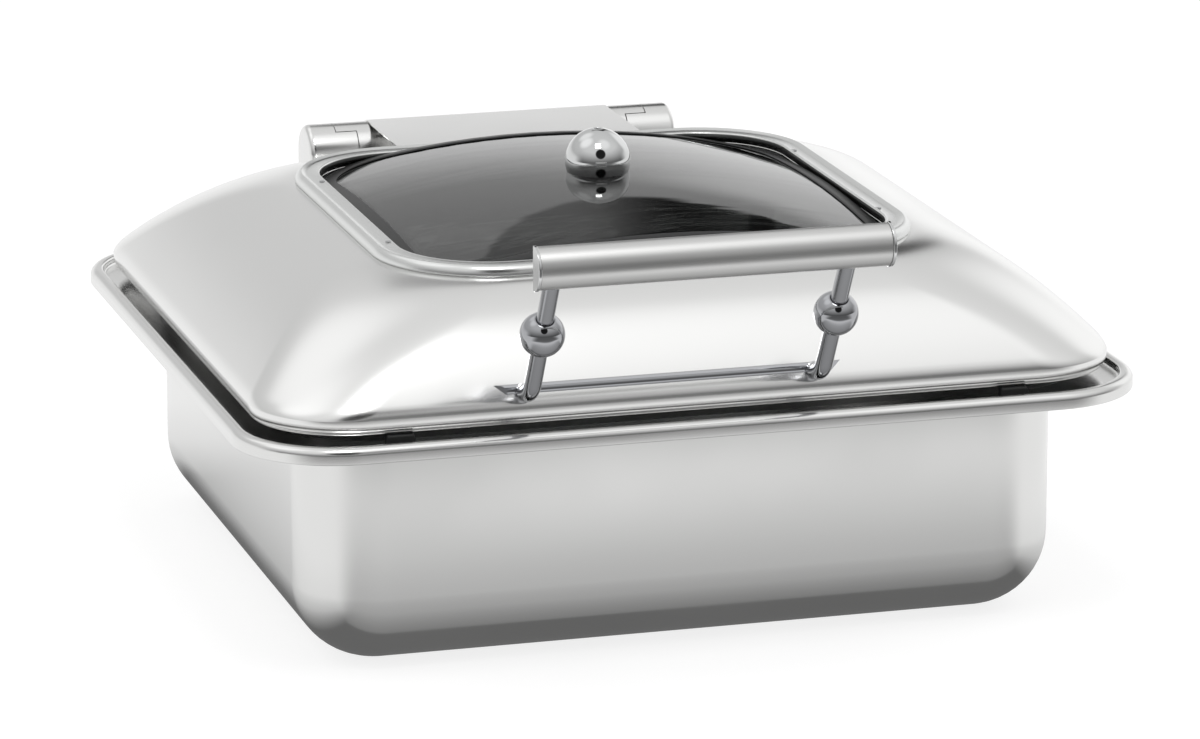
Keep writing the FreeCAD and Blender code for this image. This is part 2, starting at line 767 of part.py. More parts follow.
def make_arm():
    """Cast arm: barrel round the dampers, and a tongue that lies on the lid's back."""
    y, z = axis_y, axis_height
    r, low = barrel_radius - arm_barrel, z - arm_under
    tongue = across([(y, low), (y - arm_reach, low), (y - arm_reach, arm_top_z), (y, arm_top_z)],
                    -arm_half, arm_half)
    tongue = tongue.cut(outer_dome)
    body = tongue.fuse(barrel(r, -knuckle_inner, knuckle_inner))
    body = body.cut(barrel(pin_radius + pin_fit, -knuckle_inner - 1, knuckle_inner + 1))
    for side in (-1, 1):
        far = side * (knuckle_inner + 1)
        near = side * (knuckle_inner - knuckle_spigot - damper_length)
        body = body.cut(barrel(damper_radius, min(near, far), max(near, far)))
    for x in arm_screw_x:
        body = body.cut(rod(arm_screw + screw_fit, V(x, arm_screw_y, lid_edge), UP, 2 * lid_height))
        body = body.cut(rod(arm_head + arm_head_fit, V(x, arm_screw_y, arm_top_z - arm_head_high), UP, 10))
    return body


def make_damper(side):
    """Friction cartridge: grips the fixed pin and turns with the arm."""
    far = side * (knuckle_inner - knuckle_spigot)
    near = far - side * damper_length
    low, high = min(near, far), max(near, far)
    return barrel(damper_radius - damper_fit, low, high).cut(barrel(pin_radius + pin_fit, low - 1, high + 1))


def make_cover():
    """Bent sheet over the hinge: flat to the window frame, round over the barrel."""
    y, z, r = axis_y, axis_height, barrel_radius + cover_proud
    q, diag = r - cover_sheet, math.sqrt(0.5)
    front = frame_shift + frame_depth / 2 + cover_gap
    return across([(front, z + r), (y, z + r), (y + r * diag, z + r * diag, y + r, z), (y + q, z),
                   (y + q * diag, z + q * diag, y, z + q), (front, z + q)], -cover_half, cover_half)


def make_arm_plate():
    """Plate inside the lid under the arm."""
    corner = V(-arm_plate_width / 2, arm_screw_y - arm_plate_depth / 2, lid_edge)
    bar = Part.makeBox(arm_plate_width, arm_plate_depth, lid_height, corner).common(inner_dome)
    bar = bar.cut(dome(lid_sheet + plate_sheet))
    for hole in hinge_holes(arm_screw + screw_fit):
        bar = bar.cut(hole)
    return bar


def dome_height(x, y, shape):
    """Height of a dome's surface at one spot."""
    needle = Part.makeLine(V(x, y, lid_edge), V(x, y, land + lid_height)).common(shape)
    return needle.BoundBox.ZMax


def make_arm_screws():
    """Upright screws from the arm's top down to the nuts inside the lid."""
    low = dome_height(arm_screw_x[0], arm_screw_y, dome(lid_sheet + plate_sheet)) - arm_screw_below
    head = arm_top_z - arm_head_high
    return [rod(arm_screw, V(x, arm_screw_y, low), UP, head - low).fuse(
        rod(arm_head, V(x, arm_screw_y, head), UP, arm_head_high - arm_head_fit)) for x in arm_screw_x], low


def make_arm_nuts(low):
    """Nuts with a sloped washer face against the plate."""
    under = dome(lid_sheet + plate_sheet)
    nuts = []
    for x in arm_screw_x:
        nut = hex_nut(arm_nut, arm_nut_height, arm_screw + screw_fit, V(x, arm_screw_y, low + 2), UP)
        nuts.append(nut.common(under))
    return nuts


left_post, left_knuckle = make_post(), make_knuckle()
save("hinge_post_left", left_post)
save("hinge_post_right", mirrored(left_post))
save("hinge_knuckle_left", left_knuckle)
save("hinge_knuckle_right", mirrored(left_knuckle))
save("hinge_pin", barrel(pin_radius, -hinge_half + post_bore_end, hinge_half - post_bore_end))
save("hinge_arm", make_arm())
save("damper_left", make_damper(-1))
save("damper_right", make_damper(1))
save("hinge_cover", make_cover())
save("hinge_plate", make_arm_plate())
arm_screws, arm_screw_end = make_arm_screws()
save_group("hinge_screws", arm_screws)
save_group("hinge_nuts", make_arm_nuts(arm_screw_end))

# ---------------------------------------------------------------- rear bracket
stud_x = [-stud_outer, -stud_inner, stud_inner, stud_outer]
stud_z = bracket_top - bracket_drop / 2
pan_back = pan_depth / 2


def make_bracket():
    """Folded plate: one leaf on the pan's back, one shelf out under the posts."""
    back = axis_y + barrel_radius
    leaf = Part.makeBox(2 * bracket_half, bracket_sheet, bracket_drop,
                        V(-bracket_half, pan_back, bracket_top - bracket_drop))
    shelf = Part.makeBox(2 * bracket_half, back - pan_back, bracket_sheet,
                         V(-bracket_half, pan_back, bracket_top - bracket_sheet))
    body = leaf.fuse(shelf).removeSplitter()
    for x in stud_x:
        body = body.cut(rod(weld_stud + screw_fit, V(x, pan_back - 1, stud_z), V(0, 1, 0), 10))
    for side in (-1, 1):
        for hole in post_holes(post_screw + screw_fit, side, 0):
            body = body.cut(hole)
    return body


def make_post_screws():
    low = bracket_top - bracket_sheet
    screws = []
    for side in (-1, 1):
        for hole in post_holes(post_screw, side, 0):
            x, y = hole.CenterOfMass.x, hole.CenterOfMass.y
            shank = rod(post_screw - post_screw_fit, V(x, y, low), UP, bracket_sheet + post_screw_bite)
            screws.append(shank.fuse(rod(post_head, V(x, y, low), -UP, post_head_high)))
    return screws


save("rear_bracket", make_bracket())
save_group("weld_studs", [rod(weld_stud, V(x, pan_back, stud_z), V(0, 1, 0), stud_length) for x in stud_x])
save_group("bracket_nuts", [hex_nut(bracket_nut, bracket_nut_height, weld_stud + screw_fit,
                                    V(x, pan_back + bracket_sheet, stud_z), V(0, 1, 0)) for x in stud_x])
save_group("post_screws", make_post_screws())
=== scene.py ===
"""Chafing dish: polished water pan, domed lid with a glass window, raised handle and rear hinge.

The pieces are made in the order in which the dish is put together, in metres, in the
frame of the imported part: +Z up, -Y the front, origin in the middle of the flat bottom.
"""

import math

import bmesh
import bpy
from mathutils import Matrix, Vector


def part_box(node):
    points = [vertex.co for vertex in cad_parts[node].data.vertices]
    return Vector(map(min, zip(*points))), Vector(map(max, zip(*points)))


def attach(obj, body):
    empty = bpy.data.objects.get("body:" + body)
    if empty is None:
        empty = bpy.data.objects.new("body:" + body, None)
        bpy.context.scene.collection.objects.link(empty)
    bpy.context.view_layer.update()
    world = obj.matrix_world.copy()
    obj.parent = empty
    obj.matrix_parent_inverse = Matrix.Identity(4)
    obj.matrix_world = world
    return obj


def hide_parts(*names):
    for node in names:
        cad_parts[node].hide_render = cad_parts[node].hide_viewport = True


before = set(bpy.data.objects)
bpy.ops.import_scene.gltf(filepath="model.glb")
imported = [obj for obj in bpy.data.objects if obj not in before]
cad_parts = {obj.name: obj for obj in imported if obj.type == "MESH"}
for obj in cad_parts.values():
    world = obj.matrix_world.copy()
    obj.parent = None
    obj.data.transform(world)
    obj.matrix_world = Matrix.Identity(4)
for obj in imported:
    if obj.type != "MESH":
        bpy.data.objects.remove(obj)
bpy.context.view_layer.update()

MM = 0.001

# ------------------------------------------------------------------ water pan
# The water pan is one sheet of 18/10 stainless steel, deep drawn with a round foot, then
# pressed at the rim into ledge, gutter and land, and turned down at the edge. It is
# polished outside to a soft shine that shows wide, blurred reflections.


def linear(code):
    """sRGB hex colour as linear RGBA."""
    channels = [int(code[k:k + 2], 16) / 255 for k in (1, 3, 5)]
    return [c / 12.92 if c <= 0.04045 else ((c + 0.055) / 1.055) ** 2.4 for c in channels] + [1.0]


def add(tree, kind, settings=None, inputs=None, links=None):
    """Adds one node: attribute settings, input values by name, and links from (node, output)."""
    made = tree.nodes.new(kind)
    for key, value in (settings or {}).items():
        setattr(made, key, value)
    for key, value in (inputs or {}).items():
        made.inputs[key].default_value = value
    for key, (source, output) in (links or {}).items():
        tree.links.new(source.outputs[output], made.inputs[key])
    return made


def material(name):
    """New empty material; returns it with its tree."""
    made = bpy.data.materials.new(name)
    made.use_nodes = True
    made.node_tree.nodes.clear()
    return made, made.node_tree


def finish_material(made, tree, shader):
    add(tree, "ShaderNodeOutputMaterial", links={"Surface": (shader, "BSDF")})
    return made


BUFFING_WIDTH = 90            # mm between more and less polished patches


def steel(name, colour, rough, swing, grain_mm, bump_um, stretch=(1.0, 1.0, 1.0)):
    """Stainless steel: roughness swings a little over the surface, with a fine grain."""
    made, tree = material(name)
    place = add(tree, "ShaderNodeTexCoord")
    grain_map = add(tree, "ShaderNodeMapping", inputs={"Scale": stretch},
                    links={"Vector": (place, "Object")})
    grain = add(tree, "ShaderNodeTexNoise",
                inputs={"Scale": 1 / (grain_mm * MM), "Detail": 3.0, "Roughness": 0.6},
                links={"Vector": (grain_map, "Vector")})
    clouds = add(tree, "ShaderNodeTexNoise", inputs={"Scale": 1 / (BUFFING_WIDTH * MM), "Detail": 2.0},
                 links={"Vector": (place, "Object")})
    shine = add(tree, "ShaderNodeMapRange",
                inputs={"From Min": 0.3, "From Max": 0.7, "To Min": rough - swing, "To Max": rough + swing},
                links={"Value": (clouds, "Fac")})
    relief = add(tree, "ShaderNodeBump", inputs={"Strength": 0.25, "Distance": bump_um * 1e-6},
                 links={"Height": (grain, "Fac")})
    shader = add(tree, "ShaderNodeBsdfPrincipled",
                 inputs={"Base Color": linear(colour), "Metallic": 1.0},
                 links={"Roughness": (shine, "Result"), "Normal": (relief, "Normal")})
    return finish_material(made, tree, shader)


# polished 18/10 stainless: bright, slightly warm grey, reflections blurred over a hand's width
polished_stainless = steel("polished_stainless", "#DEDEDD", 0.18, 0.03, 0.5, 4.0)
# the same sheet mechanically satin finished, as inside a container: softer and greyer
satin_stainless = steel("satin_stainless", "#C4C5C4", 0.34, 0.05, 0.4, 8.0, (1.0, 0.08, 1.0))

CORNER_STEPS = 14
SIDE_STEPS = 10


def hoop(plan, height, y=0.0):
    """Points round a rounded rectangle (width, depth, corner), mm; height is a number or f(x, y)."""
    width, depth, corner = plan
    points = []
    for k in range(4):
        turn = math.radians(90 * k)
        c, s = math.cos(turn), math.sin(turn)
        out, along = (width / 2, depth / 2) if k % 2 == 0 else (depth / 2, width / 2)
        side = [(out, (2 * j / SIDE_STEPS - 1) * (along - corner)) for j in range(SIDE_STEPS)]
        arc = [(out - corner + corner * math.cos(math.radians(90 * j / CORNER_STEPS)),
                along - corner + corner * math.sin(math.radians(90 * j / CORNER_STEPS)))
               for j in range(CORNER_STEPS)]
        points += [(px * c - py * s, px * s + py * c + y) for px, py in side + arc]
    rise = height if callable(height) else lambda px, py: height
    return [(px * MM, py * MM, rise(px, py) * MM) for px, py in points]


def grow(plan, by):
    return (plan[0] + 2 * by, plan[1] + 2 * by, max(plan[2] + by, 0.5))


def mesh_object(name, points, faces, finish, smooth=True):
    mesh = bpy.data.meshes.new(name)
    mesh.from_pydata(points, [], faces)
    work = bmesh.new()
    work.from_mesh(mesh)
    bmesh.ops.remove_doubles(work, verts=work.verts, dist=1e-7)
    bmesh.ops.recalc_face_normals(work, faces=work.faces)
    work.to_mesh(mesh)
    work.free()
    mesh.polygons.foreach_set("use_smooth", [smooth] * len(mesh.polygons))
    mesh.materials.append(finish)
    made = bpy.data.objects.new(name, mesh)
    bpy.context.scene.collection.objects.link(made)
    return made


def skin(name, hoops, finish, closed=False):
    """Surface through a run of hoops: closed joins last to first, otherwise both ends are capped."""
    count = len(hoops[0])
    points = [p for h in hoops for p in h]
    faces = []
    for a in range(len(hoops) if closed else len(hoops) - 1):
        b = (a + 1) % len(hoops)
        for k in range(count):
            n = (k + 1) % count
            faces.append((a * count + k, a * count + n, b * count + n, b * count + k))
    if not closed:
        faces.append(tuple(range(count)))
        faces.append(tuple((len(hoops) - 1) * count + k for k in range(count)))
    made = mesh_object(name, points, faces, finish)
    even = made.modifiers.new("even_normals", "WEIGHTED_NORMAL")
    even.keep_sharp = True
    return made


def bend(first, last, radius, start, steps=6, y=0.0, plan=(0, 0, 0)):
    """Hoops round a bend in the sheet; angles in degrees, 0 is outwards and 90 is up."""
    reach, height = start
    made = []
    for k in range(steps + 1):
        angle = math.radians(first + (last - first) * k / steps)
        outline = grow(plan, reach + radius * math.cos(angle))
        made.append(hoop(outline, height + radius * math.sin(angle), y))
    return made


pan_low, pan_high = [Vector(c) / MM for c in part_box("water_pan")]
rim_corner = 46.0
rim = (pan_high.x - pan_low.x, pan_high.y - pan_low.y, rim_corner)
rim_top = pan_high.z
sheet = 1.1
wall_inset = 30.5             # wall's outside in from the rim's edge
wall_corner = 36.0
foot = 34.0                   # radius of the foot
foot_step = 6                 # degrees between hoops round the foot
skirt = 7.0                   # depth of the turned-down edge
skirt_bend = 3.2
under_bend = 2.0              # bends seen from below, under the ledge and inside the skirt
land_width = 6.0              # flat top of the rim
land_bend = 1.2
gutter_depth = 3.6
gutter_bend = 1.4
gutter_in = (357.0, 328.0, 39.5)  # inner edge of the gutter
gutter_in_bend = 0.9
ledge_drop = 1.8              # ledge below the gutter's floor
ledge_round = 0.6
wall_bend = 1.6               # from the ledge into the wall
ease = 0.4                    # small chamfers on the underside

gutter_floor = rim_top - gutter_depth
ledge_top = gutter_floor - ledge_drop
wall = (rim[0] - 2 * wall_inset, rim[1] - 2 * wall_inset, wall_corner)


def foot_hoop(degrees, inward=0.0):
    """Outline on the round foot: 90 degrees is down on the flat bottom, 0 is up at the wall."""
    angle = math.radians(degrees)
    radius = foot - inward
    plan = grow(wall, -inward - radius * (1 - math.cos(angle)))
    return hoop(plan, inward + radius * (1 - math.sin(angle)))


gutter = grow(rim, -land_width)
under_ledge = ledge_top - sheet
under_gutter = gutter_floor - sheet
under_rim = rim_top - sheet
skirt_low = rim_top - skirt + 0.5
pan_hoops = (
    [foot_hoop(a) for a in range(90, -1, -foot_step)]
    # outside, up the wall and along the underside to the skirt
    + [hoop(wall, z) for z in (50.0, 75.0, under_ledge - 2.5)]
    + bend(180, 90, under_bend, (under_bend, under_ledge - under_bend), 4, plan=wall)
    + [hoop(grow(gutter_in, sheet - 1.0), under_ledge)]
    + [hoop(grow(gutter_in, sheet + ease), under_gutter - ease)]
    + [hoop(grow(gutter_in, sheet + 3 * ease), under_gutter)]
    + [hoop(grow(gutter, sheet - 2 * ease), under_gutter)]
    + [hoop(grow(gutter, sheet), under_gutter + 2 * ease)]
    + [hoop(grow(gutter, sheet + 0.5), under_rim - ease)]
    + [hoop(grow(gutter, sheet + 3 * ease), under_rim)]
    + bend(90, 0, under_bend, (-sheet - under_bend, under_rim - under_bend), 5, plan=rim)
    + [hoop(grow(rim, -sheet), skirt_low)]
    + bend(180, 360, sheet / 2, (-sheet / 2, skirt_low), 6, plan=rim)
    # over the top of the rim, through the gutter and down inside the well
    + bend(0, 90, skirt_bend, (-skirt_bend, rim_top - skirt_bend), 8, plan=rim)
    + bend(90, 180, land_bend, (land_bend, rim_top - land_bend), 4, plan=gutter)
    + bend(0, -90, gutter_bend, (-gutter_bend, gutter_floor + gutter_bend), 5, plan=gutter)
    + bend(90, 180, gutter_in_bend, (gutter_in_bend, gutter_floor - gutter_in_bend), 4, plan=gutter_in)
    + [hoop(gutter_in, ledge_top + ledge_round), hoop(grow(gutter_in, -ledge_round), ledge_top)]
    + bend(90, 180, wall_bend, (wall_bend - sheet, ledge_top - wall_bend), 4, plan=wall)
    + [hoop(grow(wall, -sheet), z) for z in (95.0, 60.0)]
    + [foot_hoop(a, sheet) for a in range(0, 91, foot_step)])
pan = skin("water_pan_sheet", pan_hoops, polished_stainless)
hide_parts("water_pan")
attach(pan, "base")

# ------------------------------------------------------------------ food pan
# A standard drawn container hangs in the well by its rim. Only its lip and its inside
# show, under the lid, so it keeps its own sheet shape with a satin finish.


def dress(node, finish):
    """Gives a carried-over node its finish."""
    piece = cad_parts[node]
    piece.data.materials.clear()
    piece.data.materials.append(finish)


dress("food_pan", satin_stainless)

# ------------------------------------------------------------------ lid pads
# Four pads of black silicone sit in the gutter. The lid's edge comes down on them.


def rubber(name, colour, rough, grain_mm):
    """Moulded rubber: dark, nearly matt, with a faint bloom and a fine pitted skin."""
    made, tree = material(name)
    place = add(tree, "ShaderNodeTexCoord")
    pits = add(tree, "ShaderNodeTexNoise", inputs={"Scale": 1 / (grain_mm * MM), "Detail": 4.0},
               links={"Vector": (place, "Object")})
    tone = add(tree, "ShaderNodeMapRange", inputs={"To Min": rough - 0.08, "To Max": rough + 0.08},
               links={"Value": (pits, "Fac")})
    relief = add(tree, "ShaderNodeBump", inputs={"Strength": 0.3, "Distance": 2e-5},
                 links={"Height": (pits, "Fac")})
    shader = add(tree, "ShaderNodeBsdfPrincipled", inputs={"Base Color": linear(colour), "IOR": 1.45},
                 links={"Roughness": (tone, "Result"), "Normal": (relief, "Normal")})
    return finish_material(made, tree, shader)


# silicone rubber: black with a faint sheen
black_silicone = rubber("black_silicone", "#1B1C1C", 0.55, 0.6)
dress("lid_bumpers", black_silicone)

# ------------------------------------------------------------------ lid shell
# The lid is one sheet drawn to a dome with four soft hips, trimmed square for the window
# and rolled in at its lower edge. It is polished like the pan, a little brighter.

# polished stainless, bright enough to show soft shapes but no sharp image
lid_polish = steel("lid_polish", "#E6E6E5", 0.20, 0.02, 0.6, 3.0)

lid_low, lid_high = [Vector(c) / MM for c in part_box("lid_shell")]
window_low, window_high = [Vector(c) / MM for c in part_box("window_frame")]
hem_lip = 0.6
fullness = 1.2                # belly past the lid's rolled edge
lid_corner = 44.0
lid_plan = (lid_high.x - lid_low.x - 2 * hem_lip + 2 * fullness,
            lid_high.y - lid_low.y - 2 * hem_lip + 2 * fullness, lid_corner)
window_corner = 52.0
window_y = (window_low.y + window_high.y) / 2
window = (window_high.x - window_low.x, window_high.y - window_low.y, window_corner)
lid_gap = 2.0                 # lid's edge above the rim
lid_edge = rim_top + lid_gap
land = window_low.z           # flat round the window
frame_overhang = 1.5          # window frame past the land
frame_width = 11.5
top_plan = grow(window, -frame_overhang)
opening = grow(window, -frame_width)
lid_sheet = 1.1
dome_round, dome_ease = 1.942, 0.986  # how full the dome's side is, across and upwards
swell = 60.0                  # extra corner radius over the hips
swell_lean = 1.6              # carries the swell up the hips
belly = lid_edge + 6.5        # height where the lid is widest
belly_round = 5.0             # height of the soft turn above it
belly_in = 1.7                # how far that turn draws in
tuck = 2.2                    # the edge below the belly turns in by this much
tuck_lean = 1.3
lip_round = 1.0               # radius of the rolled lip


def dome_hoop(degrees, inward=0.0):
    """Outline at one place up the dome's side; inward moves it in square to the surface."""
    def profile(angle):
        share = 1 - max(math.cos(angle), 0.0) ** (2 / dome_round)
        return (land - belly) * math.sin(angle) ** (2 / dome_ease), share
    angle = math.radians(degrees)
    rise, share = profile(angle)
    low, high = profile(max(angle - 1e-3, 0)), profile(min(angle + 1e-3, math.pi / 2))
    reach = (lid_plan[0] - top_plan[0]) / 2
    slope = math.atan2(high[0] - low[0], (high[1] - low[1]) * reach)
    slope = {0: math.pi / 2, 90: 0.0}.get(degrees, slope)
    side = inward * math.sin(slope) + belly_in * max(0.0, 1 - rise / belly_round) ** 2
    drop = inward * math.cos(slope)
    corner = (lid_plan[2] + (top_plan[2] - lid_plan[2]) * share
              + swell * share ** swell_lean * (1 - share))
    plan = (lid_plan[0] + (top_plan[0] - lid_plan[0]) * share - 2 * side,
            lid_plan[1] + (top_plan[1] - lid_plan[1]) * share - 2 * side, corner - side)
    return hoop(plan, belly + rise - drop, window_y * share)


def tuck_hoop(degrees, inward=0.0):
    """Outline on the quarter round below the belly; 90 degrees is down at the lip."""
    angle = math.radians(degrees)
    height = belly - lid_edge - lip_round - inward
    plan = grow(lid_plan, -belly_in - inward - (tuck - inward / 2) * (1 - math.cos(angle)) ** tuck_lean)
    return hoop(plan, belly - height * math.sin(angle))


dome_steps = [0.0, 3, 6] + list(range(9, 88, 3)) + [90]
tuck_steps = [78, 66, 54, 42, 30, 20, 10]
lip = grow(lid_plan, -belly_in - tuck - 0.2)
trim_edge = 0.4               # broken edge of the window opening
lid_hoops = (
    bend(-90, 100, lip_round, (0.0, lid_edge + lip_round), 8, plan=lip)
    + [tuck_hoop(d) for d in tuck_steps]
    + [dome_hoop(d) for d in dome_steps]
    + [hoop(grow(opening, trim_edge), land, window_y), hoop(opening, land - trim_edge, window_y)]
    + [hoop(opening, land - lid_sheet, window_y)]
    + [dome_hoop(d, lid_sheet) for d in reversed(dome_steps)]
    + [tuck_hoop(d, lid_sheet) for d in reversed(tuck_steps[1:])]
    + [hoop(grow(lip, -1.0), lid_edge + 1.6), hoop(grow(lip, -0.9), lid_edge + 0.5)])
lid = skin("lid_dome", lid_hoops, lid_polish, closed=True)
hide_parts("lid_shell")
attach(lid, "lid")

# ------------------------------------------------------------------ window frame
# A pressed ring of satin stainless caps the opening. Its outer rim is rounded over and
# stands proud of the dome, and a bead runs round its inner edge.

# finely brushed stainless, a little greyer than the lid beside it
frame_satin = steel("frame_satin", "#DADBDA", 0.24, 0.03, 0.35, 5.0)

frame_top = window_high.z
rim_bead = 3.4                # width of the rounded outer rim
band_low = frame_top - 0.7    # flat band inside it
band_dip = 0.35
inner_bead = 0.8              # radius of the bead at the opening
seat_gap = 0.05               # the frame lies this far above the lid


def rim_hoop(degrees):
    """Outline over the rounded outer rim: 0 degrees is its foot, 90 its top."""
    angle = math.radians(degrees)
    return hoop(grow(window, -rim_bead + rim_bead * math.cos(angle)),
                land + (frame_top - land) * math.sin(angle), window_y)


frame_hoops = (
    [hoop(grow(window, -4.0), land + seat_gap, window_y)]
    + [hoop(grow(window, -0.4), land - 0.2, window_y)]
    + [rim_hoop(a) for a in range(4, 89, 7)]
    + [hoop(grow(window, -4.4), band_low - 0.05, window_y)]
    + [hoop(grow(window, -6.0), band_low - band_dip, window_y)]
    + [hoop(grow(opening, 2 * inner_bead), band_low - 0.2, window_y)]
    + bend(90, 180, inner_bead, (inner_bead, band_low - 0.6), 5, window_y, opening)
    + [hoop(opening, land + seat_gap, window_y)])
window_ring = skin("window_ring", frame_hoops, frame_satin, closed=True)
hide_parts("window_frame")
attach(window_ring, "lid")

# ------------------------------------------------------------------ window glass
# The pane is 4 mm toughened soda-lime glass, ground to the window's outline, pressed to a
# shallow dome and tempered. It is lightly smoked, so the inside of the dish looks dark.
glass_low, glass_high = [Vector(c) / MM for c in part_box("window_glass")]
pane_corner = 36.0
pane = (glass_high.x - glass_low.x, glass_high.y - glass_low.y, pane_corner)
crown = land + 15.0           # top of the pane's outer face
glass_radius = 430.0          # bend from side to side
glass_radius_y = 880.0        # bend from front to back
glass_sheet = 4.0
ground_edge = 0.8             # chamfer ground round the pane
stud_hole = 4.1               # radius
pane_rings = 16


def glass_height(x, y, under=0.0):
    """Height of the pane's outer face, or of a face below it."""
    arm = glass_radius_y - glass_radius + math.sqrt((glass_radius - under) ** 2 - x * x)
    return crown - glass_radius_y + math.sqrt(arm ** 2 - (y - window_y) ** 2)


def smoked_glass():
    """Toughened glass with a grey tint: clear but dark, with slightly wavy reflections."""
    made, tree = material("smoked_glass")
    place = add(tree, "ShaderNodeTexCoord")
    stretch = add(tree, "ShaderNodeMapping", inputs={"Scale": (6.0, 28.0, 6.0)},
                  links={"Vector": (place, "Object")})
    # roller wave from tempering, some 40 mm apart, too shallow to feel
    wave = add(tree, "ShaderNodeTexNoise", inputs={"Scale": 1.0, "Detail": 2.0, "Distortion": 0.6},
               links={"Vector": (stretch, "Vector")})
    relief = add(tree, "ShaderNodeBump", inputs={"Strength": 0.35, "Distance": 4e-4},
                 links={"Height": (wave, "Fac")})
    shader = add(tree, "ShaderNodeBsdfPrincipled",
                 inputs={"Base Color": linear("#5A5C5B"), "IOR": 1.52, "Roughness": 0.02,
                         "Transmission Weight": 1.0},
                 links={"Normal": (relief, "Normal")})
    return finish_material(made, tree, shader)


window_glass = smoked_glass()


def shrink(plan, share):
    """The plan scaled towards the stud's round hole."""
    hole = (2 * stud_hole, 2 * stud_hole, stud_hole)
    return tuple(h * (1 - share) + p * share for h, p in zip(hole, plan))


def pane_hoop(plan, under):
    """Outline that lies in the pane, a given depth below its outer face."""
    return hoop(plan, lambda x, y: glass_height(x, y, under), window_y)


face = grow(pane, -ground_edge)
face_plans = [shrink(face, k / pane_rings) for k in range(pane_rings + 1)]
glass_hoops = (
    [pane_hoop(p, 0.0) for p in face_plans]
    + [pane_hoop(grow(pane, -0.2), d) for d in (ground_edge, glass_sheet - ground_edge)]
    + [pane_hoop(p, glass_sheet) for p in reversed(face_plans)])
glass = skin("window_pane", glass_hoops, window_glass, closed=True)
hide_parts("window_glass")
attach(glass, "lid")

# ------------------------------------------------------------------ window gasket
# A moulded channel of black EPDM rubber grips the glass and slopes up to the frame.

# extruded EPDM: nearly black, with a low even sheen
epdm = rubber("epdm_rubber", "#161717", 0.42, 0.4)
glass_lap = 3.0               # rubber over the edge of the glass
gasket_proud = 0.8            # rubber above the glass
rubber_low = land - 9.5
lip_out = grow(opening, -0.1)
seat = grow(pane, -glass_lap)
channel = grow(pane, 0.1)     # the rubber's wall beside the glass


def on_pane(plan, above):
    """Outline that follows the pane's outer face."""
    return hoop(plan, lambda x, y: glass_height(x, y) + above, window_y)


gasket_hoops = (
    [on_pane(lip_out, 0.0), on_pane(grow(lip_out, -0.2), 0.4), on_pane(grow(lip_out, -0.8), 0.75)]
    + [on_pane(grow(seat, 1.0), gasket_proud), on_pane(grow(seat, 0.3), 0.55), on_pane(seat, 0.2)]
    + [on_pane(grow(seat, 0.2), 0.02), on_pane(channel, 0.02)]
    + [hoop(channel, rubber_low, window_y), hoop(lip_out, rubber_low, window_y)])
gasket = skin("window_channel", gasket_hoops, epdm, closed=True)
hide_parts("window_gasket")
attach(gasket, "lid")

# The clamping ring under the glass and its screws are plain sheet and machine screws:
# unpolished stainless, greyer and blurred.
plain_steel = steel("plain_steel", "#B9BABB", 0.30, 0.05, 0.5, 6.0)
for node in ("window_retainer", "retainer_screws"):
    dress(node, plain_steel)

# ------------------------------------------------------------------ vent knob
# A hollow cap of mirror-polished stainless, spun to a dome and pierced at the top for
# steam, pressed on a turned seat. A hollow stud, washers and a nut hold it to the glass.


def mirror(name, colour, rough):
    """Mirror-polished or plated metal: sharp reflections, a trace of polishing swirl."""
    made, tree = material(name)
    place = add(tree, "ShaderNodeTexCoord")
    swirl = add(tree, "ShaderNodeTexNoise", inputs={"Scale": 1 / (6 * MM), "Detail": 2.0},
                links={"Vector": (place, "Object")})
    shine = add(tree, "ShaderNodeMapRange", inputs={"To Min": rough, "To Max": rough + 0.03},
                links={"Value": (swirl, "Fac")})
    shader = add(tree, "ShaderNodeBsdfPrincipled", inputs={"Base Color": linear(colour), "Metallic": 1.0},
                 links={"Roughness": (shine, "Result")})
    return finish_material(made, tree, shader)


# bright mirror polish on stainless
mirror_steel = mirror("mirror_steel", "#CFD0D0", 0.03)
# chromium plate over nickel: darker and bluer than the steel
chrome_plate = mirror("chrome_plate", "#A9AAAD", 0.03)

TURN_STEPS = 56


def turned(name, profile, finish, centre, way=(0, 0, 1)):
    """Closed surface turned about an axis from (radius, height) points in mm."""
    points, faces = [], []
    spin = Vector((0, 0, 1)).rotation_difference(Vector(way)).to_matrix()
    for r, h in profile:
        for k in range(TURN_STEPS):
            a = 2 * math.pi * k / TURN_STEPS
            local = spin @ Vector((r * math.cos(a), r * math.sin(a), h))
            points.append((Vector(centre) + local) * MM)
    rows = len(profile)
    for a in range(rows):
        b = (a + 1) % rows
        if profile[a][0] < 1e-6 and profile[b][0] < 1e-6:
            continue
        for k in range(TURN_STEPS):
            n = (k + 1) % TURN_STEPS
            faces.append((a * TURN_STEPS + k, a * TURN_STEPS + n, b * TURN_STEPS + n, b * TURN_STEPS + k))
    work = bmesh.new()
    spots = [work.verts.new(p) for p in points]
    for f in faces:
        work.faces.new([spots[i] for i in f])
    bmesh.ops.remove_doubles(work, verts=work.verts, dist=1e-6)
    bmesh.ops.dissolve_degenerate(work, edges=work.edges, dist=1e-7)
    bmesh.ops.recalc_face_normals(work, faces=work.faces)
    mesh = bpy.data.meshes.new(name)
    work.to_mesh(mesh)
    work.free()
    mesh.polygons.foreach_set("use_smooth", [True] * len(mesh.polygons))
    mesh.materials.append(finish)
    made = bpy.data.objects.new(name, mesh)
    bpy.context.scene.collection.objects.link(made)
    even = made.modifiers.new("even_normals", "WEIGHTED_NORMAL")
    even.keep_sharp = True
    return made


def arc_points(radius, height, start, end, steps, reach=0.0):
    """(radius, height) points on an arc; angles from level, upwards."""
    return [(reach + radius * math.cos(math.radians(start + (end - start) * k / steps)),
             height + radius * math.sin(math.radians(start + (end - start) * k / steps)))
            for k in range(steps + 1)]


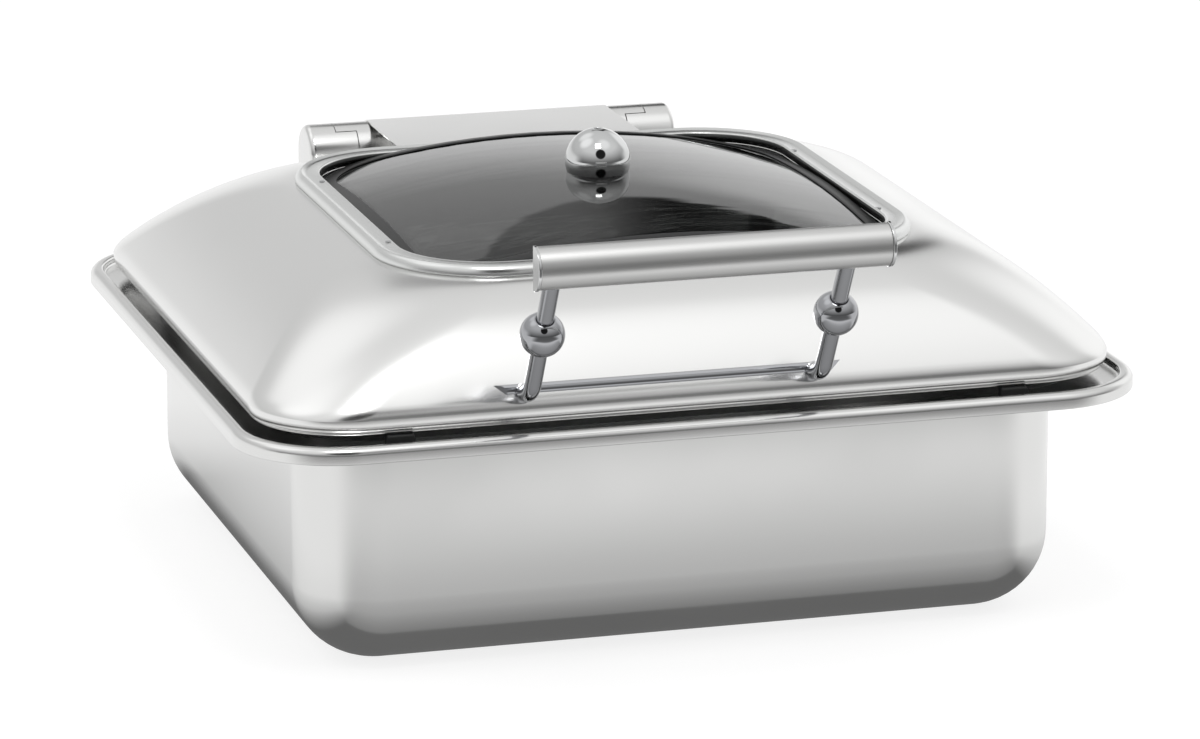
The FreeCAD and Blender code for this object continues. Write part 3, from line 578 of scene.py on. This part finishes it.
knob_low, knob_high = [Vector(c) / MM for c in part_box("knob_cap")]
knob_radius = (knob_high.x - knob_low.x) / 2
belt = knob_high.z - knob_radius
vent = 1.7                    # radius of the steam hole
vent_angle = math.degrees(math.acos((vent + 0.4) / knob_radius))
cap_sheet = 1.4
cap_foot = belt - 6.35        # the cap's lower edge, drawn in under the belt
knob_profile = (
    arc_points(knob_radius, belt, -24, vent_angle, 22)
    + [(vent + 0.1, knob_high.z - 0.25), (vent, knob_high.z - 0.6), (vent, knob_high.z - cap_sheet)]
    + arc_points(knob_radius - cap_sheet, belt, 80, -22, 12)
    + [(knob_radius - 2.1, cap_foot + 0.15), (knob_radius - 1.6, cap_foot)])
knob = turned("knob_dome", knob_profile, mirror_steel, (0, window_y, 0))
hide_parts("knob_cap")
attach(knob, "lid")
dress("knob_seat", mirror_steel)
for node in ("vent_stud", "knob_nut"):
    dress(node, plain_steel)
for node in ("knob_seal", "knob_washer"):
    dress(node, black_silicone)

# ------------------------------------------------------------------ handle rail
# A half-round strip of chromed bar, cut to a point at both ends, lies along the lid's
# front face. Two screws from inside the lid pass through it into the legs.
BEVEL_ANGLE = math.radians(28)


def smoothed(node, name, finish, edge_mm=0.0):
    """Clean copy of a node's mesh: merged, smooth across curves, its hard edges broken."""
    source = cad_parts[node]
    work = bmesh.new()
    work.from_mesh(source.data)
    bmesh.ops.remove_doubles(work, verts=work.verts, dist=2e-6)
    bmesh.ops.dissolve_limit(work, angle_limit=math.radians(0.5), verts=work.verts, edges=work.edges)
    for e in work.edges:
        e.smooth = not (e.is_manifold and e.calc_face_angle(0.0) > BEVEL_ANGLE)
    mesh = bpy.data.meshes.new(name)
    work.to_mesh(mesh)
    work.free()
    mesh.polygons.foreach_set("use_smooth", [True] * len(mesh.polygons))
    mesh.materials.clear()
    mesh.materials.append(finish)
    made = bpy.data.objects.new(name, mesh)
    bpy.context.scene.collection.objects.link(made)
    if edge_mm:
        broken = made.modifiers.new("broken_edges", "BEVEL")
        broken.width = edge_mm * MM
        broken.segments = 2
        broken.limit_method = "ANGLE"
        broken.angle_limit = BEVEL_ANGLE
        broken.harden_normals = True
    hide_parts(node)
    return made


rail = smoothed("handle_rail", "rail_strip", chrome_plate, 0.35)
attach(rail, "lid")

# ------------------------------------------------------------------ handle legs
# Each leg is a chromed 7.4 mm rod, bent twice so that it leaves the rail level, climbs
# through a ball and meets the grip level again. The ball is bored and slid on.
leg_radius = 3.7
leg_run = 2.0                 # level length before the first bend
leg_bend = 14.0               # bend radius, middle of the rod
leg_slope = math.radians(60)
grip_bite = 4.0               # the last of the rod goes into the grip
bore_gap = 0.05
bend_steps = 12
ROD_STEPS = 28
for side in ("left", "right"):
    low, high = [Vector(c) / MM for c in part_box("handle_leg_" + side)]
    x = (low.x + high.x) / 2
    start = Vector((x, high.y, low.z + leg_radius))
    finish_y = low.y + grip_bite
    rise = high.z - low.z - 2 * leg_radius
    lift = leg_bend * (1 - math.cos(leg_slope))
    straight = (rise - 2 * lift) / math.sin(leg_slope)
    path = [(start.y, start.z, 0.0)]
    for k in range(bend_steps + 1):
        a = leg_slope * k / bend_steps
        path.append((start.y - leg_run - leg_bend * math.sin(a), start.z + leg_bend * (1 - math.cos(a)), a))
    top_y = path[-1][0] - straight * math.cos(leg_slope)
    top_z = path[-1][1] + straight * math.sin(leg_slope)
    for k in range(bend_steps + 1):
        a = leg_slope * (1 - k / bend_steps)
        path.append((top_y - leg_bend * (math.sin(leg_slope) - math.sin(a)),
                     top_z + leg_bend * (math.cos(a) - math.cos(leg_slope)), a))
    path.append((finish_y, path[-1][1], 0.0))
    points, faces = [], []
    for y, z, a in path:
        for k in range(ROD_STEPS):
            t = 2 * math.pi * k / ROD_STEPS
            up = leg_radius * math.sin(t)
            spot = Vector((x + leg_radius * math.cos(t), y + up * math.sin(a), z + up * math.cos(a)))
            points.append(spot * MM)
    for r in range(len(path) - 1):
        for k in range(ROD_STEPS):
            n = (k + 1) % ROD_STEPS
            here, above = r * ROD_STEPS, (r + 1) * ROD_STEPS
            faces.append((here + k, here + n, above + n, above + k))
    faces.append(tuple(range(ROD_STEPS)))
    faces.append(tuple((len(path) - 1) * ROD_STEPS + k for k in range(ROD_STEPS)))
    leg = mesh_object("leg_rod_" + side, points, faces, chrome_plate)
    even = leg.modifiers.new("even_normals", "WEIGHTED_NORMAL")
    even.keep_sharp = True
    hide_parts("handle_leg_" + side)
    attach(leg, "lid")
    low, high = [Vector(c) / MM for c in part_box("handle_ball_" + side)]
    ball_radius = (high.z - low.z) / 2
    bore = leg_radius + bore_gap
    mouth = math.degrees(math.acos((bore + 0.35) / ball_radius))
    profile = (arc_points(ball_radius, 0, -mouth, mouth, 30)
               + [(bore, ball_radius * math.sin(math.radians(mouth)) - 0.25),
                  (bore, -ball_radius * math.sin(math.radians(mouth)) + 0.25)])
    ball = turned("leg_ball_" + side, profile, chrome_plate, (low + high) / 2,
                  (0, -math.cos(leg_slope), math.sin(leg_slope)))
    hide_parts("handle_ball_" + side)
    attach(ball, "lid")

# ------------------------------------------------------------------ grip
# The grip is a half-round satin stainless shell, closed at both ends by thin polished
# plates and at the back by a flat bar that the legs are screwed into.

# stainless brushed along the grip: the grain is drawn coarser than a real brush leaves it
grip_satin = steel("grip_satin", "#D4D4D3", 0.34, 0.02, 0.3, 5.0, (0.06, 1.0, 1.0))
grip = smoothed("handle_grip", "grip_shell", grip_satin, 0.3)
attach(grip, "lid")
for side in ("left", "right"):
    cap = smoothed("grip_cap_" + side, "grip_end_" + side, mirror_steel, 0.35)
    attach(cap, "lid")
core = smoothed("grip_core", "grip_bar", grip_satin, 0.2)
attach(core, "lid")
for node in ("handle_plate", "handle_screws", "handle_washers"):
    dress(node, plain_steel)

# ------------------------------------------------------------------ hinge
# Cast stainless posts and knuckles, blasted and then polished to a soft white shine, turn
# on a ground pin. A bent sheet covers the friction cartridges between them.

# polished casting, white and soft, with a trace of the blasted skin
hinge_polish = steel("hinge_polish", "#E2E2E1", 0.22, 0.03, 0.5, 6.0)
for side in ("left", "right"):
    post = smoothed("hinge_post_" + side, "post_" + side, hinge_polish, 0.4)
    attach(post, "base")
    knuckle = smoothed("hinge_knuckle_" + side, "knuckle_" + side, hinge_polish, 0.3)
    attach(knuckle, "lid")
arm = smoothed("hinge_arm", "arm_casting", hinge_polish, 0.4)
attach(arm, "lid")
cover = smoothed("hinge_cover", "hinge_strap", lid_polish, 0.3)
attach(cover, "lid")
bracket = smoothed("rear_bracket", "bracket_fold", satin_stainless, 0.4)
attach(bracket, "base")
# injection-moulded acetal: black with a dull gloss
acetal = rubber("acetal_plastic", "#202124", 0.38, 0.8)
for node in ("damper_left", "damper_right"):
    dress(node, acetal)
for node in ("hinge_pin", "hinge_plate", "hinge_screws", "hinge_nuts", "weld_studs", "bracket_nuts",
             "post_screws"):
    dress(node, plain_steel)

# ------------------------------------------------------------------ floor, light and camera
# A pale table that glows with painted shade where the metal reflects it, a white tent with grey walls and
# soft cards round it, one soft box overhead.
FLOOR_HALF = 6.0
floor_mesh = bpy.data.meshes.new("table_top")
floor_mesh.from_pydata([(-FLOOR_HALF, -FLOOR_HALF, 0), (FLOOR_HALF, -FLOOR_HALF, 0),
                        (FLOOR_HALF, FLOOR_HALF, 0), (-FLOOR_HALF, FLOOR_HALF, 0)], [], [(0, 1, 2, 3)])
floor = bpy.data.objects.new("table_top", floor_mesh)
bpy.context.scene.collection.objects.link(floor)
floor.location.z = -0.0004


def maths(tree, operation, *terms):
    """One maths node; each term is a number or a (node, output) pair."""
    values = {k: t for k, t in enumerate(terms) if not isinstance(t, tuple)}
    links = {k: t for k, t in enumerate(terms) if isinstance(t, tuple)}
    return add(tree, "ShaderNodeMath", {"operation": operation}, values, links), "Value"


def ramp(tree, factor, stops):
    """Grey ramp from (position, level) stops; levels above 1 are kept."""
    made = add(tree, "ShaderNodeValToRGB", links={"Fac": factor})
    while len(made.color_ramp.elements) < len(stops):
        made.color_ramp.elements.new(0.5)
    for spot, (where, level) in zip(made.color_ramp.elements, stops):
        spot.position = where
        spot.color = (level, level, level, 1)
    return made, "Color"


def blend(tree, factor, first, second):
    """Mix of two colours; each is a (node, output) pair or a grey level."""
    made = add(tree, "ShaderNodeMix", {"data_type": "RGBA"}, links={0: factor})
    for slot, colour in ((6, first), (7, second)):
        if isinstance(colour, tuple):
            tree.links.new(colour[0].outputs[colour[1]], made.inputs[slot])
        else:
            made.inputs[slot].default_value = (colour, colour, colour, 1)
    return made, 2


def step(tree, value, low, high):
    """Soft step from 0 at low to 1 at high."""
    made = add(tree, "ShaderNodeMapRange", {"interpolation_type": "SMOOTHSTEP"},
               {"From Min": low, "From Max": high}, {"Value": value})
    return made, "Result"


# What polished metal sees of the table is painted shade and light: it glows by distance from the dish, as a
# share of REACH, in place of its contact shadow. Beside the dish it rises evenly out of a painted shadow;
# in front it rises to a painted bright band, then falls into painted shade.
REACH = 0.8                   # metres of table that the two ramps cover
# glow strength of the painted shade, which only reflections see
PAINTED_SHADE_GLOW = 1.25
# painted levels beside and in front of the dish: a painted contact shadow next to it, and in front a
# painted bright band with painted shade past it
SIDE_PAINTED_SHADE = [(0.0, 0.12), (0.012, 0.24), (0.04, 0.52), (0.10, 0.72), (0.20, 0.82), (1.0, 0.80)]
FRONT_PAINTED_SHADE = [(0.0, 0.20), (0.04, 0.36), (0.20, 0.54), (0.345, 0.86), (0.40, 0.80), (0.44, 0.55),
               (0.48, 0.32), (0.55, 0.20), (1.0, 0.16)]
paper, tree = material("painted_shade_table")
place = add(tree, "ShaderNodeTexCoord")
split = add(tree, "ShaderNodeSeparateXYZ", links={"Vector": (place, "Object")})
past = []                     # how far a spot lies past the dish's wall, in metres
for axis, half in (("X", 0.170), ("Y", 0.158)):
    size = maths(tree, "ABSOLUTE", (split, axis))
    past.append(maths(tree, "MAXIMUM", maths(tree, "SUBTRACT", size, half), 0.0))
squares = [maths(tree, "POWER", p, 2.0) for p in past]
away = maths(tree, "SQRT", maths(tree, "ADD", *squares))
reach = maths(tree, "DIVIDE", away, REACH)
ahead = step(tree, maths(tree, "DIVIDE", past[1], maths(tree, "ADD", away, 1e-4)), 0.35, 0.9)
facing = step(tree, maths(tree, "MULTIPLY", (split, "Y"), -1.0), 0.0, 0.1)
ahead = maths(tree, "MULTIPLY", ahead, facing)
# the painted shade: side and front ramps, blended by where a spot lies
shade = blend(tree, ahead, ramp(tree, reach, SIDE_PAINTED_SHADE), ramp(tree, reach, FRONT_PAINTED_SHADE))
rays = add(tree, "ShaderNodeLightPath")
glow = add(tree, "ShaderNodeEmission", inputs={"Strength": PAINTED_SHADE_GLOW}, links={"Color": shade})
lit = add(tree, "ShaderNodeBsdfDiffuse", inputs={"Color": (0.30, 0.30, 0.30, 1)})
pale = add(tree, "ShaderNodeEmission", inputs={"Color": (1, 1, 1, 1), "Strength": 0.80})
table = add(tree, "ShaderNodeAddShader", links={0: (lit, "BSDF"), 1: (pale, "Emission")})
# reflections see the glowing painted shade; the camera sees the pale table
pick = add(tree, "ShaderNodeMixShader",
           links={"Fac": (rays, "Is Glossy Ray"), 1: (table, "Shader"), 2: (glow, "Emission")})
add(tree, "ShaderNodeOutputMaterial", links={"Surface": (pick, "Shader")})
floor_mesh.materials.append(paper)

# Each wall's brightness by height, from straight down (0) over level (0.5) to straight up (1).
FRONT_WALL = [(0.0, 0.10), (0.44, 0.14), (0.52, 0.17), (0.60, 0.36),
              (0.70, 0.62), (0.80, 0.86), (0.88, 0.90), (1.0, 0.86)]
BACK_WALL = [(0.0, 0.3), (0.42, 0.95), (0.50, 1.0), (0.57, 0.95),
             (0.64, 0.66), (0.74, 0.72), (1.0, 0.85)]
world = bpy.data.worlds.new("studio")
bpy.context.scene.world = world
world.use_nodes = True
tree = world.node_tree
tree.nodes.clear()
place = add(tree, "ShaderNodeTexCoord")
split = add(tree, "ShaderNodeSeparateXYZ", links={"Vector": (place, "Generated")})
raised = maths(tree, "MULTIPLY_ADD", (split, "Z"), 0.5, 0.5)
behind = step(tree, (split, "Y"), -0.35, 0.35)
walls = blend(tree, behind, ramp(tree, raised, FRONT_WALL), ramp(tree, raised, BACK_WALL))


def card(base, way, inner, outer, level):
    """Round card on the wall: full inside the inner angle, gone at the outer one, in degrees."""
    aim = Vector(way).normalized()
    dot = add(tree, "ShaderNodeVectorMath", {"operation": "DOT_PRODUCT"},
              {1: aim}, {0: (place, "Generated")})
    share = step(tree, (dot, "Value"), math.cos(math.radians(outer)), math.cos(math.radians(inner)))
    return blend(tree, share, base, level)


# white cards up on the left and behind on the left, a black one in front, then white ones
# up in front and low behind on the right
walls = card(walls, (-0.52, 0.14, 0.85), 6, 24, 1.25)
walls = card(walls, (-0.28, 0.57, 0.77), 5, 20, 1.15)
walls = card(walls, (-0.06, -0.84, 0.54), 15, 19, 0.02)
walls = card(walls, (0.24, -0.35, 0.90), 4, 24, 1.15)
walls = card(walls, (0.77, 0.52, 0.37), 8, 24, 1.15)


def product(tree, first, *others):
    """All the terms multiplied together."""
    for term in others:
        first = maths(tree, "MULTIPLY", first, term)
    return first


# A black flag hangs behind, high on the right. Its lower edge is level on the right and
# rises in a curve on the left, where the cloth thins. Turn is from straight behind
# towards the right, height from level upwards, both in radians.
turn = maths(tree, "ARCTAN2", (split, "X"), (split, "Y"))
height = maths(tree, "ARCSINE", (split, "Z"))
EDGE_TURN, EDGE_CURVE, EDGE_HEIGHT, EDGE_SOFT = 0.365, 3.9, 0.315, 0.33
FLAG_LEVEL, FLAG_THIN = 0.02, 0.5
slack = maths(tree, "MAXIMUM", maths(tree, "SUBTRACT", EDGE_TURN, turn), 0.0)
edge = maths(tree, "MULTIPLY_ADD", maths(tree, "POWER", slack, 2.0), -EDGE_CURVE, height)
thick = maths(tree, "MULTIPLY_ADD", step(tree, turn, 0.24, 0.34), 1.0 - FLAG_THIN, FLAG_THIN)
flag = product(tree, step(tree, edge, EDGE_HEIGHT, EDGE_SOFT), step(tree, turn, 0.52, 0.46),
               step(tree, height, 0.75, 0.66), step(tree, turn, 0.0, 0.05), thick)
walls = blend(tree, flag, walls, FLAG_LEVEL)
# a bright card stands low under it
LOW_CARD_LEVEL = 1.12
low_card = product(tree, step(tree, turn, 0.27, 0.39), step(tree, turn, 0.9, 0.7),
                   step(tree, height, 0.30, 0.22), step(tree, height, -0.3, -0.2))
walls = blend(tree, low_card, walls, LOW_CARD_LEVEL)
rays = add(tree, "ShaderNodeLightPath")
seen = blend(tree, (rays, "Is Camera Ray"), walls, 1.0)
back = add(tree, "ShaderNodeBackground", inputs={"Strength": 1.0}, links={"Color": seen})
add(tree, "ShaderNodeOutputWorld", links={"Surface": (back, "Background")})

CENTRE = Vector((0.0, 0.0, 0.08))  # middle of the dish, which the light and camera face


def face_dish(thing, way, distance):
    """Puts a light or camera a distance out from the dish, looking back at it."""
    thing.location = CENTRE + way * distance
    thing.rotation_euler = way.to_track_quat("Z", "Y").to_euler()
    bpy.context.scene.collection.objects.link(thing)


box_light = bpy.data.lights.new("front_box", "AREA")
box_light.shape = "SQUARE"
box_light.size = 0.5
box_light.energy = 6.0
face_dish(bpy.data.objects.new("front_box", box_light), Vector((-0.1, -0.42, 0.90)).normalized(), 1.8)

AZIMUTH, ELEVATION, DISTANCE = math.radians(-16.3), math.radians(15.0), 2.713
SENSOR = 36.0                 # mm
LENS_SHARE = 5.0              # focal length as a share of the sensor's width
SHIFT_X, SHIFT_Y = 5.5 / 1200, 9.5 / 1200
camera_data = bpy.data.cameras.new("camera")
camera_data.sensor_width = SENSOR
camera_data.lens = SENSOR * LENS_SHARE
camera_data.shift_x = SHIFT_X
camera_data.shift_y = SHIFT_Y
camera_data.clip_end = 50.0
camera = bpy.data.objects.new("camera", camera_data)
face_dish(camera, Vector((math.sin(AZIMUTH) * math.cos(ELEVATION), -math.cos(AZIMUTH) * math.cos(ELEVATION),
                          math.sin(ELEVATION))), DISTANCE)
bpy.context.scene.camera = camera
bpy.context.scene.view_settings.view_transform = "Standard"
